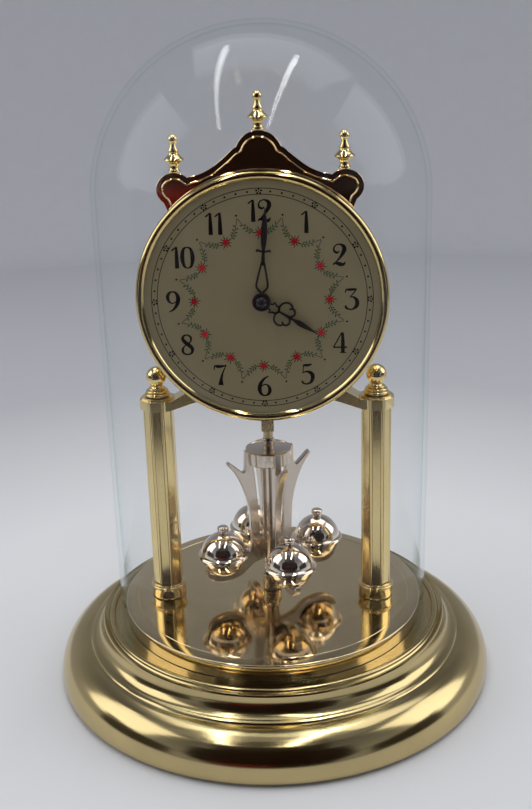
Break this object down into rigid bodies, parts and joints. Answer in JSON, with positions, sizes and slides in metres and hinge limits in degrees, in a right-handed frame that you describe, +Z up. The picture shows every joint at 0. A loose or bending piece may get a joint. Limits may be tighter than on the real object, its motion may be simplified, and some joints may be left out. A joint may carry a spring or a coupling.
{
  "type": "anniversary clock",
  "caption": "Quartz anniversary clock: round brass base, glass dome, columns carrying a round dial with a crest, and a rotating ball pendulum.",
  "frame": {"origin": "centre of the base's underside, on the table", "axes": "+Z up; the dial faces -Y; +X is to the right as the dial is read"},
  "size_m": [0.2, 0.2, 0.288],
  "materials": {
    "brass": "polished and lacquered",
    "mirror_brass": "mirror-polished plate",
    "felt": "felt",
    "fibreboard": "pressed fibreboard",
    "dark_brass": "dull bronze plating",
    "glass": "clear",
    "steel": "plain bright steel",
    "dial": "satin champagne with printed numerals",
    "black_paint": "satin black",
    "champagne_plate": "champagne-tinted bright plating",
    "white_plastic": "acetal",
    "black_plastic": "moulded",
    "circuit_board": "solder resist",
    "copper_wire": "enamelled winding",
    "battery_sleeve": "plain sleeve"
  },
  "bodies": {
    "stand": {"base_shell": "brass", "mirror_plate": "mirror_brass", "felt_pad": "felt", "bottom_cover": "fibreboard", "guide_cup": "dark_brass", "column_left": "brass", "column_foot_left": "brass", "column_cap_left": "brass", "tie_rod_left": "steel", "tie_rod_nut_left": "steel", "column_right": "brass", "column_foot_right": "brass", "column_cap_right": "brass", "tie_rod_right": "steel", "tie_rod_nut_right": "steel", "movement_bracket": "brass", "bracket_screw_left": "steel", "bracket_screw_right": "steel", "case_drum": "brass", "rear_cover": "brass", "rear_cover_screw_left": "steel", "rear_cover_screw_right": "steel", "bezel": "brass", "dial_plate": "dial", "crest": "brass", "finial_left": "brass", "finial_middle": "brass", "finial_right": "brass", "dial_nut": "brass", "movement_front": "black_plastic", "movement_housing": "black_plastic", "motor_unit": "black_plastic", "circuit_board": "circuit_board", "quartz_crystal": "steel", "stepper_coil": "copper_wire", "battery": "battery_sleeve", "contact_positive": "steel", "contact_negative": "steel", "drive_housing": "black_plastic", "drive_coil": "copper_wire", "suspension_block": "dark_brass"},
    "dome": {"glass_dome": "glass"},
    "pendulum": {"pendulum_frame": "champagne_plate", "pendulum_ball_1": "champagne_plate", "pendulum_ball_2": "champagne_plate", "pendulum_ball_3": "champagne_plate", "pendulum_ball_4": "champagne_plate", "pendulum_hanger": "dark_brass", "pendulum_magnet": "steel"},
    "minute_works": {"minute_hand": "black_paint", "hand_cap": "black_paint", "minute_arbor": "steel", "centre_wheel": "white_plastic"},
    "hour_works": {"hour_hand": "black_paint", "hour_wheel": "white_plastic"},
    "setting_works": {"minute_wheel": "white_plastic", "set_knob": "black_plastic"},
    "motor_output": {"motor_pinion": "steel"},
    "battery_door": {"battery_door": "brass"}
  },
  "joints": [
    {"name": "dome_lift", "type": "slide", "parent": "stand", "child": "dome", "axis": [0, 0, 1], "range_m": [0, 0.24]},
    {"name": "pendulum_swing", "type": "hinge", "parent": "stand", "child": "pendulum", "pos_m": [0, 0, 0.1], "axis": [0, 0, 1], "range_deg": [-180, 180]},
    {"name": "minute_turn", "type": "hinge", "parent": "stand", "child": "minute_works", "pos_m": [0, 0, 0.177], "axis": [0, 1, 0], "continuous": true},
    {"name": "hour_turn", "type": "hinge", "parent": "stand", "child": "hour_works", "pos_m": [0, 0, 0.177], "axis": [0, 1, 0], "continuous": true},
    {"name": "setting_turn", "type": "hinge", "parent": "stand", "child": "setting_works", "pos_m": [0.00849, 0, 0.18549], "axis": [0, 1, 0], "continuous": true},
    {"name": "motor_turn", "type": "hinge", "parent": "stand", "child": "motor_output", "pos_m": [-0.011, 0, 0.177], "axis": [0, 1, 0], "continuous": true},
    {"name": "battery_door_hinge", "type": "hinge", "parent": "stand", "child": "battery_door", "pos_m": [0, 0.014, 0.1508], "axis": [-1, 0, 0], "range_deg": [0, 110]}
  ],
  "couplings": [
    {"joint": "hour_turn", "follows": "minute_turn", "ratio": 0.083333},
    {"joint": "setting_turn", "follows": "minute_turn", "ratio": -0.33333},
    {"joint": "motor_turn", "follows": "minute_turn", "ratio": -4.5}
  ]
}
